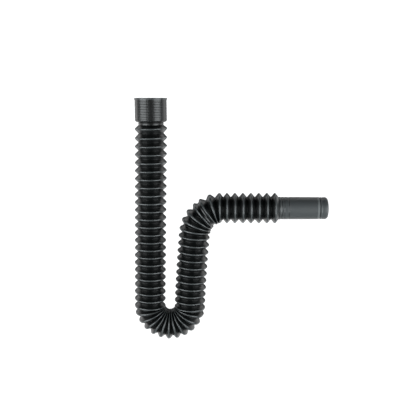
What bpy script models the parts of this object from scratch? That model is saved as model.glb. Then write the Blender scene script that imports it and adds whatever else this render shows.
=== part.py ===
"""Flexible sink trap for a 1 1/2 in waste: one blow-moulded corrugated tube, bent into a P trap.

The inlet cup hangs at the origin with its mouth up. The tube drops from it, turns back up in
a bend that holds the water seal, goes over an elbow and leaves along +X in a plain spigot.
All the bends lie in the XZ plane. Lengths are in metres and angles in degrees.
"""
import math
from collections import namedtuple

import bmesh
import bpy
from mathutils import Matrix, Vector

# Inlet cup, which screws on the 1 1/2 in thread of the basin waste
CUP_DIAMETER = 0.0536
CUP_HEIGHT = 0.0363
THREAD_DIAMETER = 0.0478
LIP_PROUD = 0.0007
LIP_HEIGHT = 0.0030
LIP_CHAMFER = 0.0006
SHOULDER_HEIGHT = 0.0040
NECK_DIAMETER = 0.0418
NECK_LENGTH = 0.0042
FLOOR_THICKNESS = 0.0022

# Flat rubber washer that seals the waste's end against the floor of the cup: it fills the bore
# of the thread, and its own hole is left by the width of its ring
WASHER_WIDTH = 0.0048
WASHER_THICKNESS = 0.0030
WASHER_CLEARANCE = 0.0003
WASHER_BEVEL = 0.0005

# Corrugated tube: the legs are one size, and the arm's roots are as wide as the spigot. On the
# inside of a bend a fold closes up to FOLD_DEPTH once its gap turns by FOLD_TURN
LEG_CREST_DIAMETER = 0.0546
LEG_ROOT_DIAMETER = 0.0424
ARM_CREST_DIAMETER = 0.0528
SPIGOT_DIAMETER = 0.0389
TUBE_WALL = 0.0018
BEND_FLATTENING = 0.02
FOLD_TURN = 14.0
FOLD_DEPTH = 0.0010

# Route of the tube: a pitch is the distance between two crests, measured on the centreline,
# a heading is the angle from +X towards +Z in which a stretch ends, and a tilt is what the
# unevenly stretched crests of the inlet leg lean by
INLET_HEADING = -90.0
FIRST_CREST_RISE = 0.0065
COLLAR_PITCH = 0.0154
DROP_HEADING = -91.3
DROP_GAPS = 22
DROP_TOP_PITCH = 0.01395
DROP_FOOT_PITCH = 0.01305
DROP_TOP_TILT = 2.6
DROP_FOOT_TILT = -1.3
BEND_TURN = 179.0
BEND_START_PITCH = 0.00795
BEND_GAPS = 10
BEND_PITCH = 0.00925
BEND_END_PITCH = 0.00725
RISER_GAPS = 10
RISER_FOOT_PITCH = 0.01235
RISER_TOP_PITCH = 0.01345
RISER_LEAN = 2.9
ELBOW_FOOT_PITCH = 0.0113
ELBOW_FOOT_TURN = 3.4
ELBOW_LOW_GAPS = 3
ELBOW_LOW_TURN = 42.4
ELBOW_LOW_PITCH = 0.0101
POPPED_PITCH = 0.0107
POPPED_TURN = 3.0
POPPED_DEPTH = 0.0030
ELBOW_HIGH_GAPS = 2
ELBOW_HIGH_PITCH = 0.0105
ARM_ROOT_PITCH = 0.0125
ARM_GAPS = 6
ARM_PITCH = 0.0138
OUTLET_HEADING = 0.0
LAST_CREST_FALL = 0.0062

# Outlet spigot, which slides into the 1 1/2 in waste pipe: a depth mark near the tube, and
# a bead with a rounded mouth at the tip
SPIGOT_LENGTH = 0.0845
SPIGOT_TAPER = 0.0008
SPIGOT_WALL = 0.0020
MARK_DISTANCE = 0.0186
MARK_WIDTH = 0.0016
MARK_DEPTH = 0.0004
BEAD_LENGTH = 0.0128
GROOVE_WIDTH = 0.0024
GROOVE_DEPTH = 0.0014
GROOVE_SLOPE = 0.0005
TIP_ROUND = 0.0046
TIP_WALL = 0.0016

SIDES = 20
ROUND_STEPS = 3
SHARP_ANGLE = 40.0

PLASTIC_COLOUR = (0.018, 0.019, 0.020, 1.0)
PLASTIC_ROUGHNESS = 0.38
RUBBER_COLOUR = (0.010, 0.010, 0.010, 1.0)
RUBBER_ROUGHNESS = 0.85

BASE_RADIUS = NECK_DIAMETER / 2
SHOULDER_END = CUP_HEIGHT + SHOULDER_HEIGHT
FLOOR_DEPTH = SHOULDER_END - FLOOR_THICKNESS


def clear_scene():
    for item in list(bpy.data.objects):
        bpy.data.objects.remove(item, do_unlink=True)


def make_material(name, colour, roughness):
    material = bpy.data.materials.new(name)
    material.use_nodes = True
    shader = material.node_tree.nodes["Principled BSDF"]
    shader.inputs["Base Color"].default_value = colour
    shader.inputs["Roughness"].default_value = roughness
    shader.inputs["Metallic"].default_value = 0.0
    return material


def mix(first, last, way):
    return first + (last - first) * way


def ring_place(point, heading):
    """Matrix of a ring: local Z runs along the tube, local X lies in the plane of the bends."""
    angle = math.radians(heading)
    along = Vector((math.cos(angle), 0.0, math.sin(angle)))
    across = Vector((-math.sin(angle), 0.0, math.cos(angle)))
    axes = Matrix((across, Vector((0.0, -1.0, 0.0)), along)).transposed()
    return Matrix.Translation(point) @ axes.to_4x4()


def go(point, heading, length, turn):
    """Follow an arc of the centreline, and return the point and the heading at its end."""
    half_turn = math.radians(turn) / 2
    chord = length * math.sin(half_turn) / half_turn if half_turn else length
    middle = math.radians(heading) + half_turn
    move = Vector((math.cos(middle), 0.0, math.sin(middle))) * chord
    return point + move, heading + turn


Gap = namedtuple("Gap", "pitch turn share shallow flatten tilts")


def route_gaps():
    """List every gap between two crests, from the collar to the arm.

    The share goes from 0 at the legs' diameters to 1 at the arm's, shallow is the part of
    the depth that a popped root has lost, and the tilts are the root's and the far crest's.
    """
    bend_step = BEND_TURN / (BEND_GAPS + 2)
    popped_share = (ELBOW_LOW_GAPS + 1) / (ELBOW_LOW_GAPS + 1 + ELBOW_HIGH_GAPS)
    low_share = ELBOW_LOW_GAPS / (ELBOW_LOW_GAPS + 1 + ELBOW_HIGH_GAPS)
    low_turns = RISER_LEAN + ELBOW_FOOT_TURN + ELBOW_LOW_TURN + POPPED_TURN
    high_turn = DROP_HEADING + BEND_TURN - low_turns - OUTLET_HEADING
    gaps = []

    def stretch(count, pitches, turn, shares=(0.0, 0.0), shallow=0.0, flatten=0.0, tilts=(0.0, 0.0)):
        for index in range(count):
            pitch = mix(*pitches, index / max(count - 1, 1))
            share = mix(*shares, (index + 1) / count)
            root_and_crest = [mix(*tilts, (index + half) / count) for half in (0.5, 1.0)]
            gaps.append(Gap(pitch, turn / count, share, shallow, flatten, root_and_crest))

    drop_tilts = (DROP_TOP_TILT, DROP_FOOT_TILT)
    stretch(1, (COLLAR_PITCH, COLLAR_PITCH), 0.0, tilts=(DROP_TOP_TILT, DROP_TOP_TILT))
    stretch(DROP_GAPS, (DROP_TOP_PITCH, DROP_FOOT_PITCH), 0.0, tilts=drop_tilts)
    stretch(1, (BEND_START_PITCH, BEND_START_PITCH), bend_step, tilts=(DROP_FOOT_TILT, DROP_FOOT_TILT))
    stretch(BEND_GAPS, (BEND_PITCH, BEND_PITCH), bend_step * BEND_GAPS,
            flatten=BEND_FLATTENING, tilts=(DROP_FOOT_TILT, 0.0))
    stretch(1, (BEND_END_PITCH, BEND_END_PITCH), bend_step)
    stretch(RISER_GAPS, (RISER_FOOT_PITCH, RISER_TOP_PITCH), -RISER_LEAN)
    stretch(1, (ELBOW_FOOT_PITCH, ELBOW_FOOT_PITCH), -ELBOW_FOOT_TURN)
    stretch(ELBOW_LOW_GAPS, (ELBOW_LOW_PITCH, ELBOW_LOW_PITCH), -ELBOW_LOW_TURN, (0.0, low_share))
    stretch(1, (POPPED_PITCH, POPPED_PITCH), -POPPED_TURN, (low_share, popped_share), POPPED_DEPTH)
    stretch(ELBOW_HIGH_GAPS, (ELBOW_HIGH_PITCH, ELBOW_HIGH_PITCH), -high_turn, (popped_share, 1.0))
    stretch(1, (ARM_ROOT_PITCH, ARM_ROOT_PITCH), 0.0, (1.0, 1.0))
    stretch(ARM_GAPS, (ARM_PITCH, ARM_PITCH), 0.0, (1.0, 1.0))
    return gaps


def tube_rings():
    """Place, radius and wall of each root and crest, from the neck to the spigot."""
    point, heading = go(Vector(), INLET_HEADING, SHOULDER_END + NECK_LENGTH, 0.0)
    rings = [(ring_place(point, heading), BASE_RADIUS, TUBE_WALL)]
    point, heading = go(point, heading, FIRST_CREST_RISE, DROP_HEADING - INLET_HEADING)
    rings.append((ring_place(point, heading + DROP_TOP_TILT), LEG_CREST_DIAMETER / 2, TUBE_WALL))
    for gap in route_gaps():
        root = mix(LEG_ROOT_DIAMETER, SPIGOT_DIAMETER, gap.share) / 2 + gap.shallow
        crest = mix(LEG_CREST_DIAMETER, ARM_CREST_DIAMETER, gap.share) / 2
        closed = max(min(gap.turn / FOLD_TURN, 1.0), -1.0)
        lift = closed * (crest - root - FOLD_DEPTH) / 2
        for radius, shift, tilt in zip((root, crest), (lift, 0.0), gap.tilts):
            point, heading = go(point, heading, gap.pitch / 2, gap.turn / 2)
            squeeze = Matrix.Diagonal((1.0 - gap.flatten, 1.0, 1.0, 1.0))
            fold = Matrix.Diagonal((1.0 + abs(shift) / radius, 1.0, 1.0, 1.0))
            place = ring_place(point, heading + tilt) @ squeeze @ Matrix.Translation((shift, 0.0, 0.0)) @ fold
            rings.append((place, radius, TUBE_WALL))
    return rings, go(point, heading, LAST_CREST_FALL, OUTLET_HEADING - heading)


def cup_rings():
    """Outer and inner rings of the inlet cup, both from the mouth down."""
    outer_radius = CUP_DIAMETER / 2
    lip_radius = outer_radius + LIP_PROUD
    outside = [(0.0, lip_radius - LIP_CHAMFER), (LIP_CHAMFER, lip_radius)]
    outside += [(LIP_HEIGHT - LIP_PROUD, lip_radius), (LIP_HEIGHT, outer_radius)]
    for index in range(ROUND_STEPS + 1):
        angle = math.pi / 2 * index / ROUND_STEPS
        depth = CUP_HEIGHT + SHOULDER_HEIGHT * math.sin(angle)
        outside.append((depth, mix(BASE_RADIUS, outer_radius, math.cos(angle))))
    bore = THREAD_DIAMETER / 2
    inside = [(0.0, bore), (FLOOR_DEPTH, bore), (FLOOR_DEPTH, BASE_RADIUS - TUBE_WALL)]
    return [place_on_cup(*ring) for ring in outside], [place_on_cup(*ring) for ring in inside]


def place_on_cup(depth, radius):
    point, heading = go(Vector(), INLET_HEADING, depth, 0.0)
    return ring_place(point, heading), radius


def spigot_rings(start):
    """Outer and inner rings of the spigot, both from the tube to the tip."""
    def radius_at(distance):
        return (SPIGOT_DIAMETER - SPIGOT_TAPER * distance / SPIGOT_LENGTH) / 2

    def notch(distance, width, depth):
        return (
            (distance, 0.0),
            (distance + GROOVE_SLOPE, depth),
            (distance + width - GROOVE_SLOPE, depth),
            (distance + width, 0.0),
        )

    groove_start = SPIGOT_LENGTH - BEAD_LENGTH - GROOVE_WIDTH
    tip_start = SPIGOT_LENGTH - TIP_ROUND
    mark = notch(MARK_DISTANCE, MARK_WIDTH, MARK_DEPTH)
    groove = notch(groove_start, GROOVE_WIDTH, GROOVE_DEPTH)
    outside = [(distance, radius_at(distance) - depth) for distance, depth in mark + groove]
    for index in range(ROUND_STEPS + 1):
        angle = math.pi / 2 * index / ROUND_STEPS
        distance = tip_start + TIP_ROUND * math.sin(angle)
        outside.append((distance, radius_at(tip_start) - TIP_ROUND * (1.0 - math.cos(angle))))
    inside = [(distance, radius_at(distance) - depth - SPIGOT_WALL) for distance, depth in groove]
    inside.append((tip_start, radius_at(tip_start) - SPIGOT_WALL))
    mouth = radius_at(tip_start) - TIP_ROUND - TIP_WALL
    inside += [(SPIGOT_LENGTH - TIP_WALL, mouth), (SPIGOT_LENGTH, mouth)]

    def placed(ring):
        point, heading = go(*start, ring[0], 0.0)
        return ring_place(point, heading), ring[1]

    return [placed(ring) for ring in outside], [placed(ring) for ring in inside]


def skinned_object(name, rings, material):
    """Make one closed solid of a closed chain of rings, each skinned to the next with quads."""
    bm = bmesh.new()
    loops = []
    for place, radius in rings:
        circle = bmesh.ops.create_circle(bm, segments=SIDES, radius=radius, matrix=place)
        loops.append(circle["verts"])
    for near, far in zip(loops, loops[1:] + loops[:1]):
        for side in range(SIDES):
            after = (side + 1) % SIDES
            bm.faces.new((near[side], near[after], far[after], far[side]))
    bmesh.ops.recalc_face_normals(bm, faces=bm.faces)
    mesh = bpy.data.meshes.new(name)
    bm.to_mesh(mesh)
    bm.free()
    mesh.shade_smooth()
    mesh.set_sharp_from_angle(angle=math.radians(SHARP_ANGLE))
    mesh.materials.append(material)
    made_object = bpy.data.objects.new(name, mesh)
    bpy.context.collection.objects.link(made_object)
    return made_object


def make_trap_body(material):
    cup_outside, cup_inside = cup_rings()
    tube, spigot_start = tube_rings()
    spigot_outside, spigot_inside = spigot_rings(spigot_start)
    spigot_root = ring_place(*spigot_start)
    tube_outside = [(place, radius) for place, radius, wall in tube]
    tube_inside = [(place, radius - wall) for place, radius, wall in tube]
    outside = cup_outside + tube_outside + [(spigot_root, SPIGOT_DIAMETER / 2)] + spigot_outside
    inside = cup_inside + tube_inside + [(spigot_root, SPIGOT_DIAMETER / 2 - TUBE_WALL)] + spigot_inside
    return skinned_object("trap_body", outside + inside[::-1], material)


def make_inlet_washer(material):
    outer = THREAD_DIAMETER / 2 - WASHER_CLEARANCE
    inner = outer - WASHER_WIDTH
    half = WASHER_THICKNESS / 2
    edge = WASHER_BEVEL
    section = [(outer, half - edge), (outer - edge, half), (inner + edge, half), (inner, half - edge)]
    section += [(radius, -height) for radius, height in section[::-1]]
    rings = [(Matrix.Translation((0.0, 0.0, height)), radius) for radius, height in section]
    washer = skinned_object("inlet_washer", rings, material)
    washer.location.z = -(FLOOR_DEPTH - WASHER_CLEARANCE - half)
    return washer


clear_scene()
body = make_trap_body(make_material("black_polyethylene", PLASTIC_COLOUR, PLASTIC_ROUGHNESS))
seal = make_inlet_washer(make_material("black_rubber", RUBBER_COLOUR, RUBBER_ROUGHNESS))
seal.parent = body
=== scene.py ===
import math

import bmesh
import bpy
from mathutils import Matrix, Vector


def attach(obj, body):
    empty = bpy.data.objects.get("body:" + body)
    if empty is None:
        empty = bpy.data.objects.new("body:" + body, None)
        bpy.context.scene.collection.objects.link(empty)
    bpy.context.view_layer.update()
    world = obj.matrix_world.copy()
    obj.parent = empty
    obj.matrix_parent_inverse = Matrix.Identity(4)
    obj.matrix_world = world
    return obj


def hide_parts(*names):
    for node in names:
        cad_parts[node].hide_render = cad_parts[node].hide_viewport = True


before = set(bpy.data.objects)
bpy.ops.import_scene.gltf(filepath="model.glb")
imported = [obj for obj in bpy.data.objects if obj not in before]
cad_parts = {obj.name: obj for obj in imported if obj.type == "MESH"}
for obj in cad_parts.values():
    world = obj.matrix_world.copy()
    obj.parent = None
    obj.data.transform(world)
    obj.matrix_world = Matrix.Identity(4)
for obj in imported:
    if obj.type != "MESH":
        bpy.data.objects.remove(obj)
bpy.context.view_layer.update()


# Trap body: one length of tube, blown in a travelling mould as a threaded cup, a row of bellows
# and a plain spigot, and then bent by hand into a deep U, an elbow and an arm. It is polyethylene
# in satin black. It is modelled straight, as it leaves the mould, and bent along its route.

# The cup, its thread and the neck; all lengths are in metres
CUP_DIAMETER = 0.0536
CUP_HEIGHT = 0.0363
THREAD_DIAMETER = 0.0478
THREAD_PITCH = 0.0042
THREAD_DEPTH = 0.0010
THREAD_STEEPNESS = 0.9
SINK_DEPTH = 0.00027
THREAD_FADE = 0.0030
THREAD_STEPS = 9
LIP_PROUD = 0.0007
LIP_HEIGHT = 0.0030
LIP_CHAMFER = 0.0006
LIP_EASE = 0.3
LIP_FOOT_RISE = 0.6
CUP_RISE = 0.8
SHOULDER_HEIGHT = 0.0040
ROUND_STEPS = 7
NECK_DIAMETER = 0.0418
NECK_LENGTH = 0.0042
NECK_SWELL = 0.0005
FLOOR_THICKNESS = 0.0022
TUBE_WALL = 0.0018

# The convolutions
LEG_CREST_DIAMETER = 0.0546
LEG_ROOT_DIAMETER = 0.0424
ARM_CREST_DIAMETER = 0.0528
CREST_ROUND = 0.0018
ROOT_ROUND = 0.0001
ROOT_FLAT = 0.0001
POPPED_ROUND = 0.0030
ARC_STEPS = 2
SWELL_STEPS = 6
BEND_FLATTENING = 0.02
FOLD_TURN = 14.0
FOLD_DEPTH = 0.0010

# The route from the cup to the spigot; headings, turns and tilts are in degrees
INLET_HEADING = -90.0
FIRST_CREST_RISE = 0.0065
COLLAR_PITCH = 0.0154
DROP_HEADING = -91.3
DROP_GAPS = 22
DROP_TOP_PITCH = 0.01395
DROP_FOOT_PITCH = 0.01305
DROP_TOP_TILT = 2.6
DROP_FOOT_TILT = -1.3
BEND_TURN = 179.0
BEND_START_PITCH = 0.00795
BEND_GAPS = 10
BEND_PITCH = 0.00925
BEND_END_PITCH = 0.00725
RISER_GAPS = 10
RISER_FOOT_PITCH = 0.01235
RISER_TOP_PITCH = 0.01345
RISER_LEAN = 2.9
ELBOW_FOOT_PITCH = 0.0113
ELBOW_FOOT_TURN = 3.4
ELBOW_LOW_GAPS = 3
ELBOW_LOW_TURN = 42.4
ELBOW_LOW_PITCH = 0.0101
POPPED_PITCH = 0.0107
POPPED_TURN = 3.0
POPPED_DEPTH = 0.0030
ELBOW_HIGH_GAPS = 2
ELBOW_HIGH_PITCH = 0.0105
ARM_ROOT_PITCH = 0.0125
ARM_GAPS = 6
ARM_PITCH = 0.0138
LAST_CREST_FALL = 0.0062

# The spigot; each of its scored lines is given by start, width and depth
SPIGOT_DIAMETER = 0.0389
SPIGOT_LENGTH = 0.0845
SPIGOT_TAPER = 0.0008
SPIGOT_WALL = 0.0020
COLLAR_START = 0.0010
COLLAR_WIDTH = 0.0022
COLLAR_PROUD = 0.0004
SCORES = ((0.0034, 0.0026, 0.0005), (0.0086, 0.0016, 0.0004), (0.0158, 0.0022, 0.0008))
SCORE_STEPS = 4
BEAD_LENGTH = 0.0128
BEAD_WAIST_START = 0.0008
BEAD_WAIST_WIDTH = 0.0038
BEAD_WAIST_DEPTH = 0.0004
GROOVE_WIDTH = 0.0024
GROOVE_DEPTH = 0.0014
RUB_AND_HIGHLIGHT_WIDTH = 0.0060
TIP_ROUND = 0.0046
TIP_WALL = 0.0016
SKIN_RISE = 0.6

# The sides of the tube, and the line that the mould's two halves leave
SIDES = 72
PARTING_WIDTH = 0.0006
PARTING_HEIGHT = 0.00012
PARTING_TURN = 12.0
CUT_SNAP = 1e-7
MIDDLE_SLACK = 1e-6
BORE_SLACK = 1e-5
SHARP_ANGLE = 35.0


def mix(first, last, way):
    """The value that lies that share of the way from the first to the last."""
    return first + (last - first) * way


def smooth(way):
    """A share from 0 to 1 that starts and ends gently."""
    way = min(max(way, 0.0), 1.0)
    return way * way * (3.0 - 2.0 * way)


def follow(point, heading, length, turn):
    """Go along an arc of the centreline, and return the point and the heading at its end."""
    half_turn = math.radians(turn) / 2
    chord = length * math.sin(half_turn) / half_turn if half_turn else length
    middle = math.radians(heading) + half_turn
    move = Vector((math.cos(middle), 0.0, math.sin(middle))) * chord
    return point + move, heading + turn


# The route in stretches, from each ring to the next: length, turn, flattening, how far the root
# rises on the inside of the bend, and the tilt of the ring at the stretch's end
neck_end = CUP_HEIGHT + SHOULDER_HEIGHT + NECK_LENGTH
leg_sizes = (LEG_CREST_DIAMETER, LEG_ROOT_DIAMETER)
arm_sizes = (ARM_CREST_DIAMETER, SPIGOT_DIAMETER)
stretches = [(neck_end, 0.0, 0.0, 0.0, 0.0)]
stretches.append((FIRST_CREST_RISE, DROP_HEADING - INLET_HEADING, 0.0, 0.0, DROP_TOP_TILT))

# Each convolution: pitch, radius of the root, radius of the next crest, and rounding of the root
convolutions = []


def add_convolutions(count, pitches, turn, near=leg_sizes, far=leg_sizes, shallow=0.0, flatten=0.0,
                     tilts=(0.0, 0.0)):
    """Add gaps between crests, whose crest and root diameters go from the near ones to the far ones.

    The folds of a gap that turns far enough close on the inside of the bend.
    """
    for index in range(count):
        pitch = mix(*pitches, index / max(count - 1, 1))
        crest, root = (mix(first, last, (index + 1) / count) / 2 for first, last in zip(near, far))
        root += shallow
        convolutions.append((pitch, root, crest, POPPED_ROUND if shallow else ROOT_ROUND))
        fold = max(min(turn / count / FOLD_TURN, 1.0), -1.0) * (crest - root - FOLD_DEPTH)
        for half in (1, 2):
            tilt = mix(*tilts, (index + half / 2) / count)
            stretches.append((pitch / 2, turn / count / 2, flatten, fold, tilt))


bend_step = BEND_TURN / (BEND_GAPS + 2)
elbow_gaps = ELBOW_LOW_GAPS + 1 + ELBOW_HIGH_GAPS
low_sizes = [mix(*pair, ELBOW_LOW_GAPS / elbow_gaps) for pair in zip(leg_sizes, arm_sizes)]
popped_sizes = [mix(*pair, (ELBOW_LOW_GAPS + 1) / elbow_gaps) for pair in zip(leg_sizes, arm_sizes)]
high_turn = DROP_HEADING + BEND_TURN - RISER_LEAN - ELBOW_FOOT_TURN - ELBOW_LOW_TURN - POPPED_TURN
add_convolutions(1, (COLLAR_PITCH, COLLAR_PITCH), 0.0, tilts=(DROP_TOP_TILT, DROP_TOP_TILT))
add_convolutions(DROP_GAPS, (DROP_TOP_PITCH, DROP_FOOT_PITCH), 0.0, tilts=(DROP_TOP_TILT, DROP_FOOT_TILT))
add_convolutions(1, (BEND_START_PITCH, BEND_START_PITCH), bend_step, tilts=(DROP_FOOT_TILT, DROP_FOOT_TILT))
add_convolutions(BEND_GAPS, (BEND_PITCH, BEND_PITCH), bend_step * BEND_GAPS,
                 flatten=BEND_FLATTENING, tilts=(DROP_FOOT_TILT, 0.0))
add_convolutions(1, (BEND_END_PITCH, BEND_END_PITCH), bend_step)
add_convolutions(RISER_GAPS, (RISER_FOOT_PITCH, RISER_TOP_PITCH), -RISER_LEAN)
add_convolutions(1, (ELBOW_FOOT_PITCH, ELBOW_FOOT_PITCH), -ELBOW_FOOT_TURN)
add_convolutions(ELBOW_LOW_GAPS, (ELBOW_LOW_PITCH, ELBOW_LOW_PITCH), -ELBOW_LOW_TURN, far=low_sizes)
add_convolutions(1, (POPPED_PITCH, POPPED_PITCH), -POPPED_TURN, low_sizes, popped_sizes, POPPED_DEPTH)
add_convolutions(ELBOW_HIGH_GAPS, (ELBOW_HIGH_PITCH, ELBOW_HIGH_PITCH), -high_turn, popped_sizes, arm_sizes)
add_convolutions(1, (ARM_ROOT_PITCH, ARM_ROOT_PITCH), 0.0, arm_sizes, arm_sizes)
add_convolutions(ARM_GAPS, (ARM_PITCH, ARM_PITCH), 0.0, arm_sizes, arm_sizes)
stretches.append((LAST_CREST_FALL, 0.0, 0.0, 0.0, 0.0))
spigot_start = sum(stretch[0] for stretch in stretches)
stretches.append((SPIGOT_LENGTH, 0.0, 0.0, 0.0, 0.0))


def flank(run, depth, crest_round, root_round, steps):
    """Distance from the crest and depth below it, from the crest's middle to the root's edge."""
    rounds = crest_round + root_round
    straight = math.sqrt(run ** 2 + (depth - rounds) ** 2 - rounds ** 2)
    slope = math.atan2(depth - rounds, run) + math.atan2(rounds, straight)
    angles = [slope * step / steps for step in range(steps + 1)]
    down = [(crest_round * math.sin(angle), crest_round * (1 - math.cos(angle))) for angle in angles]
    for angle in angles[::-1]:
        down.append((run - root_round * math.sin(angle), depth - root_round * (1 - math.cos(angle))))
    return down


def swell(start, width, height, steps=SWELL_STEPS):
    """A round rib, or a hollow where the height is negative, as places along the tube."""
    found = []
    for step in range(steps + 1):
        distance = start + width * step / steps
        found.append((distance, height * math.sin(math.pi * step / steps) ** 2))
    return found


# The outer outline, as distance from the mouth, radius, and how far it rises from root to crest
outer_radius = CUP_DIAMETER / 2
lip_radius = outer_radius + LIP_PROUD
ease = LIP_CHAMFER * LIP_EASE
outline = [(0.0, lip_radius - LIP_CHAMFER, 1.0), (ease, lip_radius - ease, 1.0)]
outline += [(LIP_CHAMFER, lip_radius, 1.0), (LIP_HEIGHT - LIP_PROUD, lip_radius, 1.0)]
ease = LIP_PROUD * LIP_EASE
outline += [(LIP_HEIGHT - ease, lip_radius - ease, 1.0), (LIP_HEIGHT, outer_radius, LIP_FOOT_RISE)]
cup_rings = round((CUP_HEIGHT - LIP_HEIGHT) / THREAD_PITCH * THREAD_STEPS)
for ring in range(1, cup_rings):
    outline.append((mix(LIP_HEIGHT, CUP_HEIGHT, ring / cup_rings), outer_radius, CUP_RISE))
for step in range(ROUND_STEPS + 1):
    angle = math.pi / 2 * step / ROUND_STEPS
    radius = mix(NECK_DIAMETER / 2, outer_radius, math.cos(angle))
    rise = mix(CUP_RISE, 0.0, step / ROUND_STEPS)
    outline.append((CUP_HEIGHT + SHOULDER_HEIGHT * math.sin(angle), radius, rise))
for distance, proud in swell(CUP_HEIGHT + SHOULDER_HEIGHT, NECK_LENGTH - ROOT_ROUND, NECK_SWELL)[1:]:
    outline.append((distance, NECK_DIAMETER / 2 + proud, 0.0))

crest_place = neck_end + FIRST_CREST_RISE
first_depth = (LEG_CREST_DIAMETER - NECK_DIAMETER) / 2
for run, depth in flank(FIRST_CREST_RISE, first_depth, CREST_ROUND, ROOT_ROUND, ARC_STEPS)[:0:-1]:
    outline.append((crest_place - run, LEG_CREST_DIAMETER / 2 - depth, 1.0 - depth / first_depth))
crest_radius = LEG_CREST_DIAMETER / 2
for pitch, root, crest, root_round in convolutions:
    outline.append((crest_place, crest_radius, 1.0))
    run = (pitch - ROOT_FLAT) / 2
    near_depth = crest_radius - root
    far_depth = crest - root
    for along, depth in flank(run, near_depth, CREST_ROUND, root_round, ARC_STEPS)[1:]:
        outline.append((crest_place + along, crest_radius - depth, 1.0 - depth / near_depth))
    crest_place += pitch
    crest_radius = crest
    for along, depth in flank(run, far_depth, CREST_ROUND, root_round, ARC_STEPS)[:0:-1]:
        outline.append((crest_place - along, crest_radius - depth, 1.0 - depth / far_depth))
outline.append((crest_place, crest_radius, 1.0))
last_depth = crest_radius - SPIGOT_DIAMETER / 2
for along, depth in flank(LAST_CREST_FALL, last_depth, CREST_ROUND, ROOT_ROUND, ARC_STEPS)[1:]:
    outline.append((crest_place + along, crest_radius - depth, 1.0 - depth / last_depth))


def spigot_radius(distance):
    """The plain taper's radius at a distance from the spigot's start."""
    return (SPIGOT_DIAMETER - SPIGOT_TAPER * distance / SPIGOT_LENGTH) / 2


# Along the spigot the plain skin rises to SKIN_RISE. Its edges and tip rise to 1, which paints them lighter
# as rubbed wear and a painted highlight.
# The floors of the scored lines and of the groove go to 0, which paints them black as painted shade.
bead_start = SPIGOT_LENGTH - BEAD_LENGTH
groove_start = bead_start - GROOVE_WIDTH
collar = swell(COLLAR_START, COLLAR_WIDTH, COLLAR_PROUD)
groove = swell(groove_start, GROOVE_WIDTH, -GROOVE_DEPTH)
waist = swell(bead_start + BEAD_WAIST_START, BEAD_WAIST_WIDTH, -BEAD_WAIST_DEPTH)
spigot_line = [(distance, proud, SKIN_RISE) for distance, proud in collar]
# A scored line's floor goes to rise 0, which paints it black as painted shade
for start, width, depth in SCORES:
    for distance, proud in swell(start, width, -depth, SCORE_STEPS):
        spigot_line.append((distance, proud, SKIN_RISE * (1.0 + proud / depth)))
spigot_line += [(groove_start - RUB_AND_HIGHLIGHT_WIDTH, 0.0, SKIN_RISE), (groove_start - RUB_AND_HIGHLIGHT_WIDTH / 2, 0.0, 1.0)]
spigot_line += [(distance, proud, 1.0 + proud / GROOVE_DEPTH) for distance, proud in groove]
spigot_line += [(distance, proud, SKIN_RISE) for distance, proud in waist]
for distance, proud, rise in spigot_line:
    outline.append((spigot_start + distance, spigot_radius(distance) + proud, rise))
tip_start = SPIGOT_LENGTH - TIP_ROUND
tip_radius = spigot_radius(tip_start)
for step in range(ROUND_STEPS + 1):
    angle = math.pi / 2 * step / ROUND_STEPS
    distance = tip_start + TIP_ROUND * math.sin(angle)
    # The rounded tip grows lighter towards the end: rubbed wear and a painted highlight
    rub_and_highlight_rise = mix(SKIN_RISE, 1.0, step / ROUND_STEPS)
    outline.append((spigot_start + distance, tip_radius - TIP_ROUND * (1 - math.cos(angle)), rub_and_highlight_rise))

# The bore's outline, from the spigot's mouth back to the cup's
mouth_radius = tip_radius - TIP_ROUND - TIP_WALL
bore = [(spigot_start + SPIGOT_LENGTH, mouth_radius, 0.0)]
bore.append((spigot_start + SPIGOT_LENGTH - TIP_WALL, mouth_radius, 0.0))
bore.append((spigot_start + tip_start, tip_radius - SPIGOT_WALL, 0.0))
for distance, proud in groove[::-1]:
    bore.append((spigot_start + distance, spigot_radius(distance) + proud - SPIGOT_WALL, 0.0))
bore.append((spigot_start, SPIGOT_DIAMETER / 2 - TUBE_WALL, 0.0))
near_crests = [LEG_CREST_DIAMETER / 2] + [crest for pitch, root, crest, root_round in convolutions]
for (pitch, root, crest, root_round), near_crest in zip(convolutions[::-1], near_crests[-2::-1]):
    bore.append((crest_place, crest - TUBE_WALL, 1.0))
    crest_place -= pitch
    bore.append((crest_place + (pitch + ROOT_FLAT) / 2, root - TUBE_WALL, 0.0))
    bore.append((crest_place + (pitch - ROOT_FLAT) / 2, root - TUBE_WALL, 0.0))
bore.append((crest_place, near_crest - TUBE_WALL, 1.0))
bore.append((neck_end, NECK_DIAMETER / 2 - TUBE_WALL, 0.0))
floor_depth = CUP_HEIGHT + SHOULDER_HEIGHT - FLOOR_THICKNESS
bore.append((floor_depth, NECK_DIAMETER / 2 - TUBE_WALL, 0.0))
thread_rings = round(floor_depth / THREAD_PITCH * THREAD_STEPS)
for ring in range(thread_rings + 1):
    bore.append((floor_depth * (1 - ring / thread_rings), THREAD_DIAMETER / 2, 0.0))

body = bmesh.new()
rise_layer = body.verts.layers.float.new("rise")
outside_layer = body.verts.layers.float.new("outside")
straight_layer = body.verts.layers.float_vector.new("straight")
chain = []
for along, radius, rise in outline:
    chain.append(body.verts.new((radius, 0.0, along)))
    chain[-1][rise_layer] = rise
    chain[-1][outside_layer] = 1.0
for along, radius, rise in bore:
    chain.append(body.verts.new((radius, 0.0, along)))
    chain[-1][rise_layer] = rise
edges = [body.edges.new(pair) for pair in zip(chain, chain[1:] + chain[:1])]
bmesh.ops.spin(body, geom=chain + edges, cent=(0, 0, 0), axis=(0, 0, 1), angle=math.tau, steps=SIDES,
               use_merge=True)
bmesh.ops.recalc_face_normals(body, faces=body.faces)

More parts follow.
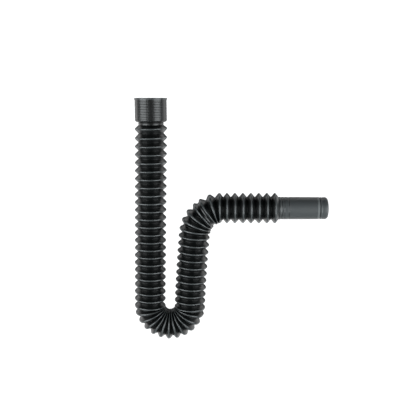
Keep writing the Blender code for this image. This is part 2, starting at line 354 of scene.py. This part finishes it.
# The mould's two halves leave a fine raised line down the front and the back
for place in (-PARTING_WIDTH / 2, PARTING_WIDTH / 2):
    skin = [face for face in body.faces if all(vert[outside_layer] > 0.5 for vert in face.verts)]
    cut = skin + list(dict.fromkeys(edge for face in skin for edge in face.edges))
    cut += list(dict.fromkeys(vert for face in skin for vert in face.verts))
    bmesh.ops.bisect_plane(body, geom=cut, dist=CUT_SNAP, plane_co=(place, 0, 0), plane_no=(1, 0, 0))
for vert in body.verts:
    if vert[outside_layer] > 0.5 and abs(vert.co.x) < MIDDLE_SLACK:
        vert.co.y += math.copysign(PARTING_HEIGHT, vert.co.y)
parting_turn = Matrix.Rotation(math.radians(PARTING_TURN), 3, "Z")
bmesh.ops.rotate(body, verts=body.verts, cent=(0, 0, 0), matrix=parting_turn)

# The thread stands inside the cup, and its helix sinks faintly through to the outside
for vert in body.verts:
    along = vert.co.z
    if along > CUP_HEIGHT or vert.co.xy.length < THREAD_DIAMETER / 2 - BORE_SLACK:
        continue
    helix = math.atan2(vert.co.y, vert.co.x) + math.tau * along / THREAD_PITCH
    fade = smooth((along - LIP_HEIGHT) / THREAD_FADE) * smooth((CUP_HEIGHT - along) / THREAD_FADE)
    if vert[outside_layer] > 0.5:
        lift = SINK_DEPTH * fade * (0.5 * math.cos(helix) - 0.5)
    else:
        lift = -THREAD_DEPTH * fade * smooth(0.5 + THREAD_STEEPNESS * math.cos(helix))
    vert.co.xy *= 1.0 + lift / vert.co.xy.length

# Every ring goes to its place on the route
for vert in body.verts:
    vert[straight_layer] = vert.co
places = []
distance, point, heading, tilt = 0.0, Vector(), INLET_HEADING, 0.0
for length, turn, flatten, fold, far_tilt in stretches:
    places.append((distance, point, heading, tilt))
    point, heading = follow(point, heading, length, turn)
    distance += length
    tilt = far_tilt
index = 0
for vert in sorted(body.verts, key=lambda vert: vert.co.z):
    while index + 1 < len(places) and vert.co.z >= places[index + 1][0]:
        index += 1
    length, turn, flatten, fold, far_tilt = stretches[index]
    distance, point, heading, tilt = places[index]
    way = vert.co.z - distance
    point, heading = follow(point, heading, way, turn * way / length)
    angle = math.radians(heading + mix(tilt, far_tilt, way / length))
    inward = Vector((-math.sin(angle), 0.0, math.cos(angle)))
    lift = fold * (1.0 - vert[rise_layer]) / 2
    reach = vert.co.x * (1 + abs(lift) / vert.co.xy.length) + lift
    vert.co = point + inward * (reach * (1 - flatten)) - Vector((0, vert.co.y, 0))

body_mesh = bpy.data.meshes.new("trap_body_finish")
bmesh.ops.recalc_face_normals(body, faces=body.faces)
body.to_mesh(body_mesh)
body.free()
body_mesh.shade_smooth()
body_mesh.set_sharp_from_angle(angle=math.radians(SHARP_ANGLE))
trap_body = bpy.data.objects.new("trap_body_finish", body_mesh)
bpy.context.collection.objects.link(trap_body)
shading = trap_body.modifiers.new("even_shading", "WEIGHTED_NORMAL")
shading.mode = "FACE_AREA"
shading.keep_sharp = True


def new_material(name):
    """Make a material with nodes, and return its nodes, its links and the material."""
    material = bpy.data.materials.new(name)
    material.use_nodes = True
    return material.node_tree.nodes, material.node_tree.links, material


NOISE_LOW = 0.3
NOISE_HIGH = 0.7


def grain(nodes, links, place, scale, detail, stretch=(1.0, 1.0, 1.0)):
    """Noise of that many cells to the metre, on coordinates that may be stretched."""
    mapping = nodes.new("ShaderNodeMapping")
    mapping.inputs["Scale"].default_value = stretch
    noise = nodes.new("ShaderNodeTexNoise")
    noise.inputs["Scale"].default_value = scale
    noise.inputs["Detail"].default_value = detail
    links.new(place, mapping.inputs["Vector"])
    links.new(mapping.outputs["Vector"], noise.inputs["Vector"])
    return noise.outputs["Fac"]


def spread(nodes, links, value, low, high, from_low=NOISE_LOW, from_high=NOISE_HIGH):
    """Bring a value from one range, which is that of noise unless it is given, to another."""
    span = nodes.new("ShaderNodeMapRange")
    span.inputs["From Min"].default_value = from_low
    span.inputs["From Max"].default_value = from_high
    span.inputs["To Min"].default_value = low
    span.inputs["To Max"].default_value = high
    links.new(value, span.inputs["Value"])
    return span.outputs["Result"]


def blend(nodes, links, factor, first, second):
    """Colour between two, each a socket or a plain colour."""
    mixer = nodes.new("ShaderNodeMix")
    mixer.data_type = "RGBA"
    links.new(factor, mixer.inputs["Factor"])
    for name, value in (("A", first), ("B", second)):
        socket = next(item for item in mixer.inputs if item.name == name and item.type == "RGBA")
        if isinstance(value, tuple):
            socket.default_value = value
        else:
            links.new(value, socket)
    return next(item for item in mixer.outputs if item.type == "RGBA")


def total(nodes, links, first, second, kind="ADD"):
    """Work out one value from two, of which the second may be a plain number."""
    sums = nodes.new("ShaderNodeMath")
    sums.operation = kind
    links.new(first, sums.inputs[0])
    if isinstance(second, float):
        sums.inputs[1].default_value = second
    else:
        links.new(second, sums.inputs[1])
    return sums.outputs["Value"]


PLASTIC_BLACK = (0.0019, 0.0027, 0.0028, 1.0)
# The lighter colour on crests, lip, spigot edges and tip: partly rubbed wear, partly a painted highlight
PLASTIC_RUB_AND_HIGHLIGHT = (0.0740, 0.0815, 0.0830, 1.0)
SPIGOT_GREY = (0.0600, 0.0660, 0.0680, 1.0)
SPIGOT_RUB_AND_HIGHLIGHT = (0.1600, 0.1700, 0.1720, 1.0)
PLASTIC_SHINE = 0.60
PLASTIC_ROUGHNESS = (0.29, 0.35)
STREAK_ROUGHNESS = 0.03
SPIGOT_ROUGHNESS = 0.10
WORN_GLOSS = 0.06
RUB_AND_HIGHLIGHT_RISES = (0.90, 0.98)
RUB_AND_HIGHLIGHT_LEAST = 0.7
STREAK_RELIEF = 0.5
SKIN_BUMP = 0.25
SKIN_BUMP_HEIGHT = 0.00004

# Cells to the metre, detail, and how the pattern is stretched along the tube
CLOUDS = (55.0, 3.0)
STREAKS = (900.0, 2.0, (1.0, 1.0, 0.03))
PEBBLES = (1500.0, 2.0)

nodes, links, plastic = new_material("satin_black_plastic")
shader = nodes["Principled BSDF"]
object_place = nodes.new("ShaderNodeTexCoord").outputs["Object"]
straight = nodes.new("ShaderNodeAttribute")
straight.attribute_name = "straight"
rise = nodes.new("ShaderNodeAttribute")
rise.attribute_name = "rise"
clouds = grain(nodes, links, object_place, *CLOUDS)
streaks = grain(nodes, links, straight.outputs["Vector"], *STREAKS)
pebbles = grain(nodes, links, object_place, *PEBBLES)
split = nodes.new("ShaderNodeSeparateXYZ")
links.new(straight.outputs["Vector"], split.inputs["Vector"])
last_crest = spigot_start - LAST_CREST_FALL
spigot_way = spread(nodes, links, split.outputs["Z"], 0.0, 1.0, last_crest, spigot_start)
# Lighter where the rise is high: partly rubbed wear, partly a painted highlight along the crests, the lip
# and the spigot's edges and tip
rub_and_highlight = total(nodes, links, spread(nodes, links, rise.outputs["Fac"], 0.0, 1.0, *RUB_AND_HIGHLIGHT_RISES),
             spread(nodes, links, clouds, RUB_AND_HIGHLIGHT_LEAST, 1.0), "MULTIPLY")
skin_colour = blend(nodes, links, rub_and_highlight, PLASTIC_BLACK, PLASTIC_RUB_AND_HIGHLIGHT)
# The floors of the scored lines and of the groove are painted black as painted shade; the plain skin is
# grey
unshaded_skin = spread(nodes, links, rise.outputs["Fac"], 0.0, 1.0, 0.0, SKIN_RISE)
spigot_colour = blend(nodes, links, unshaded_skin, PLASTIC_BLACK, SPIGOT_GREY)
spigot_colour = blend(nodes, links, rub_and_highlight, spigot_colour, SPIGOT_RUB_AND_HIGHLIGHT)
links.new(blend(nodes, links, spigot_way, skin_colour, spigot_colour), shader.inputs["Base Color"])
roughness = total(nodes, links, spread(nodes, links, clouds, *PLASTIC_ROUGHNESS),
                  spread(nodes, links, streaks, -STREAK_ROUGHNESS, STREAK_ROUGHNESS))
roughness = total(nodes, links, roughness,
                  spread(nodes, links, spigot_way, 0.0, SPIGOT_ROUGHNESS, 0.0, 1.0))
roughness = total(nodes, links, roughness, spread(nodes, links, rub_and_highlight, 0.0, -WORN_GLOSS, 0.0, 1.0))
links.new(roughness, shader.inputs["Roughness"])
shader.inputs["Specular IOR Level"].default_value = PLASTIC_SHINE
relief = total(nodes, links, total(nodes, links, streaks, STREAK_RELIEF, "MULTIPLY"), pebbles)
bump = nodes.new("ShaderNodeBump")
bump.inputs["Strength"].default_value = SKIN_BUMP
bump.inputs["Distance"].default_value = SKIN_BUMP_HEIGHT
links.new(relief, bump.inputs["Height"])
links.new(bump.outputs["Normal"], shader.inputs["Normal"])
body_mesh.materials.append(plastic)
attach(trap_body, "root")
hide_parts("trap_body")


# Inlet washer: a flat ring of black rubber that lies on the cup's floor and seals the end of the
# basin waste. It is cut from a moulded sheet, so its faces are matt and its edges a little round.
WASHER_WIDTH = 0.0048
WASHER_THICKNESS = 0.0030
WASHER_CLEARANCE = 0.0003
WASHER_ROUND = 0.0005
WASHER_ROUND_STEPS = 3
WASHER_SIDES = 96
WASHER_SHARP_ANGLE = 50.0
RUBBER_BLACK = (0.0090, 0.0090, 0.0092, 1.0)
RUBBER_DUSTY = (0.0200, 0.0200, 0.0196, 1.0)
RUBBER_ROUGHNESS = (0.62, 0.85)
RUBBER_BLOOM = (260.0, 4.0)
RUBBER_GRAIN = (1300.0, 3.0)
RUBBER_BUMP = 0.4
RUBBER_BUMP_HEIGHT = 0.00008

washer = bmesh.new()
washer_outer = THREAD_DIAMETER / 2 - WASHER_CLEARANCE
washer_low = -(floor_depth - WASHER_CLEARANCE)
corners = [(washer_outer, washer_low), (washer_outer, washer_low + WASHER_THICKNESS)]
corners += [(washer_outer - WASHER_WIDTH, height) for radius, height in corners[::-1]]
section = [washer.verts.new((radius, 0.0, height)) for radius, height in corners]
washer.faces.new(section)
bmesh.ops.bevel(washer, geom=section, offset=WASHER_ROUND, offset_type="OFFSET",
                segments=WASHER_ROUND_STEPS, profile=0.5, affect="VERTICES", material=-1)
bmesh.ops.delete(washer, geom=list(washer.faces), context="FACES_ONLY")
bmesh.ops.spin(washer, geom=list(washer.verts) + list(washer.edges), cent=(0, 0, 0), axis=(0, 0, 1),
               angle=math.tau, steps=WASHER_SIDES, use_merge=True)
bmesh.ops.recalc_face_normals(washer, faces=washer.faces)
washer_mesh = bpy.data.meshes.new("inlet_washer_finish")
washer.to_mesh(washer_mesh)
washer.free()
washer_mesh.shade_smooth()
washer_mesh.set_sharp_from_angle(angle=math.radians(WASHER_SHARP_ANGLE))
inlet_washer = bpy.data.objects.new("inlet_washer_finish", washer_mesh)
bpy.context.collection.objects.link(inlet_washer)

nodes, links, rubber = new_material("matt_black_rubber")
shader = nodes["Principled BSDF"]
object_place = nodes.new("ShaderNodeTexCoord").outputs["Object"]
bloom = grain(nodes, links, object_place, *RUBBER_BLOOM)
links.new(blend(nodes, links, spread(nodes, links, bloom, 0.0, 1.0), RUBBER_BLACK, RUBBER_DUSTY),
          shader.inputs["Base Color"])
links.new(spread(nodes, links, bloom, *RUBBER_ROUGHNESS), shader.inputs["Roughness"])
bump = nodes.new("ShaderNodeBump")
bump.inputs["Strength"].default_value = RUBBER_BUMP
bump.inputs["Distance"].default_value = RUBBER_BUMP_HEIGHT
links.new(grain(nodes, links, object_place, *RUBBER_GRAIN), bump.inputs["Height"])
links.new(bump.outputs["Normal"], shader.inputs["Normal"])
washer_mesh.materials.append(rubber)
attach(inlet_washer, "root")
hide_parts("inlet_washer")


# Backdrop: one white sheet, which lies well under the hanging trap and curves up behind it, and
# takes its soft shadow. It is white to the camera. In reflections only its outer parts behind the
# trap are white, and its middle is dark, which keeps the tube's sides black.
SHEET_HALF_WIDTH = 12.0
SHEET_FRONT = -6.0
SHEET_BACK = 3.2
SHEET_FLOOR = -2.20
SHEET_TOP = 7.0
SHEET_CURVE = 1.6
SHEET_STEPS = 16
SHEET_WHITE = (0.86, 0.86, 0.86, 1.0)
SHEET_GLOW = 0.95
GLOSS_NEAR = 0.5
GLOSS_FAR = 1.5
GLOSS_GLOW = 1.45
DARK_HALF_WIDTH = 2.0
DARK_HALF_HEIGHT = 1.5
DARK_MIDDLE = 0.5
DARK_EDGE = 1.0

sheet = bmesh.new()
side_line = [(SHEET_FRONT, SHEET_FLOOR)]
for step in range(SHEET_STEPS + 1):
    angle = math.pi / 2 * step / SHEET_STEPS
    side_line.append((SHEET_BACK - SHEET_CURVE * (1 - math.sin(angle)),
                      SHEET_FLOOR + SHEET_CURVE * (1 - math.cos(angle))))
side_line.append((SHEET_BACK, SHEET_TOP))
line_verts = [sheet.verts.new((-SHEET_HALF_WIDTH, *place)) for place in side_line]
line_edges = [sheet.edges.new(pair) for pair in zip(line_verts, line_verts[1:])]
swept = bmesh.ops.extrude_edge_only(sheet, edges=line_edges)["geom"]
swept_verts = [item for item in swept if isinstance(item, bmesh.types.BMVert)]
bmesh.ops.translate(sheet, verts=swept_verts, vec=(2 * SHEET_HALF_WIDTH, 0, 0))
sheet_mesh = bpy.data.meshes.new("backdrop")
sheet.to_mesh(sheet_mesh)
sheet.free()
sheet_mesh.shade_smooth()
backdrop = bpy.data.objects.new("backdrop", sheet_mesh)
bpy.context.collection.objects.link(backdrop)

nodes, links, white_paper = new_material("white_backdrop")
nodes.remove(nodes["Principled BSDF"])
paper = nodes.new("ShaderNodeBsdfDiffuse")
paper.inputs["Color"].default_value = SHEET_WHITE
light_path = nodes.new("ShaderNodeLightPath")
split = nodes.new("ShaderNodeSeparateXYZ")
links.new(nodes.new("ShaderNodeTexCoord").outputs["Object"], split.inputs["Vector"])
behind = spread(nodes, links, split.outputs["Y"], 0.0, GLOSS_GLOW, GLOSS_NEAR, GLOSS_FAR)
right = spread(nodes, links, split.outputs["X"], 0.0, 1.0, DARK_HALF_WIDTH, DARK_HALF_WIDTH + DARK_EDGE)
left = spread(nodes, links, split.outputs["X"], 1.0, 0.0, -DARK_HALF_WIDTH - DARK_EDGE, -DARK_HALF_WIDTH)
dark_top = DARK_MIDDLE + DARK_HALF_HEIGHT
dark_foot = DARK_MIDDLE - DARK_HALF_HEIGHT
over = spread(nodes, links, split.outputs["Z"], 0.0, 1.0, dark_top, dark_top + DARK_EDGE)
under = spread(nodes, links, split.outputs["Z"], 1.0, 0.0, dark_foot - DARK_EDGE, dark_foot)
around = total(nodes, links, total(nodes, links, left, right), total(nodes, links, over, under), "MAXIMUM")
behind = total(nodes, links, behind, around, "MULTIPLY")
mirrored = total(nodes, links, light_path.outputs["Is Glossy Ray"], behind, "MULTIPLY")
seen = total(nodes, links, light_path.outputs["Is Camera Ray"], mirrored)
seen = total(nodes, links, seen, light_path.outputs["Is Transmission Ray"])
glow = nodes.new("ShaderNodeEmission")
links.new(total(nodes, links, seen, SHEET_GLOW, "MULTIPLY"), glow.inputs["Strength"])
both = nodes.new("ShaderNodeAddShader")
links.new(paper.outputs["BSDF"], both.inputs[0])
links.new(glow.outputs["Emission"], both.inputs[1])
links.new(both.outputs["Shader"], nodes["Material Output"].inputs["Surface"])
sheet_mesh.materials.append(white_paper)


# Studio light: two softboxes, both in front and a little low, the left one wider and stronger
# than the right one. The room round them is white to the camera but dim to the trap, and only its
# walls show a little in the gloss.
TRAP_MIDDLE = Vector((0.08, 0.0, -0.15))

# Name, degrees round from the front, degrees up, distance, width, height and power
SOFTBOXES = (
    ("left_softbox", -50.0, -10.0, 1.7, 1.70, 1.60, 36.0),
    ("right_softbox", 53.0, -10.0, 1.7, 1.45, 1.60, 30.0),
)
SOFTBOX_WHITE = (0.95, 1.0, 1.02)
ROOM_WHITE = (1.0, 1.0, 1.0, 1.0)
ROOM_GLOW = 0.02
ROOM_GLOSS = 0.25
WALL_LOW = 0.30
WALL_HIGH = 0.70

for name, azimuth, elevation, distance, width, height, power in SOFTBOXES:
    light = bpy.data.lights.new(name, "AREA")
    light.shape = "RECTANGLE"
    light.size = width
    light.size_y = height
    light.energy = power
    light.color = SOFTBOX_WHITE
    softbox = bpy.data.objects.new(name, light)
    bpy.context.collection.objects.link(softbox)
    turn = math.radians(azimuth)
    lift = math.radians(elevation)
    away = Vector((math.sin(turn) * math.cos(lift), -math.cos(turn) * math.cos(lift), math.sin(lift)))
    softbox.location = TRAP_MIDDLE + away * distance
    softbox.rotation_euler = away.to_track_quat("Z", "Y").to_euler()
    softbox.visible_camera = False

world = bpy.data.worlds.new("studio")
bpy.context.scene.world = world
world.use_nodes = True
nodes = world.node_tree.nodes
links = world.node_tree.links
light_path = nodes.new("ShaderNodeLightPath")
split = nodes.new("ShaderNodeSeparateXYZ")
links.new(nodes.new("ShaderNodeTexCoord").outputs["Generated"], split.inputs["Vector"])
height = nodes.new("ShaderNodeMath")
height.operation = "ABSOLUTE"
links.new(split.outputs["Z"], height.inputs[0])
wall = spread(nodes, links, height.outputs["Value"], ROOM_GLOSS, 0.0, WALL_LOW, WALL_HIGH)
wall = total(nodes, links, wall, light_path.outputs["Is Glossy Ray"], "MULTIPLY")
wall = total(nodes, links, wall, ROOM_GLOW)
strength = total(nodes, links, wall, light_path.outputs["Is Camera Ray"], "MAXIMUM")
nodes["Background"].inputs["Color"].default_value = ROOM_WHITE
links.new(strength, nodes["Background"].inputs["Strength"])


# Camera: it stands a little above the cup's mouth, about a metre in front of the trap, and looks
# down by 11 degrees.
CAMERA_PLACE = (0.0994, -1.037, 0.0088)
CAMERA_PITCH = 10.9
CAMERA_SENSOR = 36.0
CAMERA_LENS = 52.29

camera = bpy.data.cameras.new("camera")
camera.sensor_width = CAMERA_SENSOR
camera.lens = CAMERA_LENS
camera_object = bpy.data.objects.new("camera", camera)
camera_object.location = CAMERA_PLACE
camera_object.rotation_euler = (math.radians(90.0 - CAMERA_PITCH), 0.0, 0.0)
bpy.context.collection.objects.link(camera_object)
bpy.context.scene.camera = camera_object
bpy.context.scene.view_settings.view_transform = "Standard"
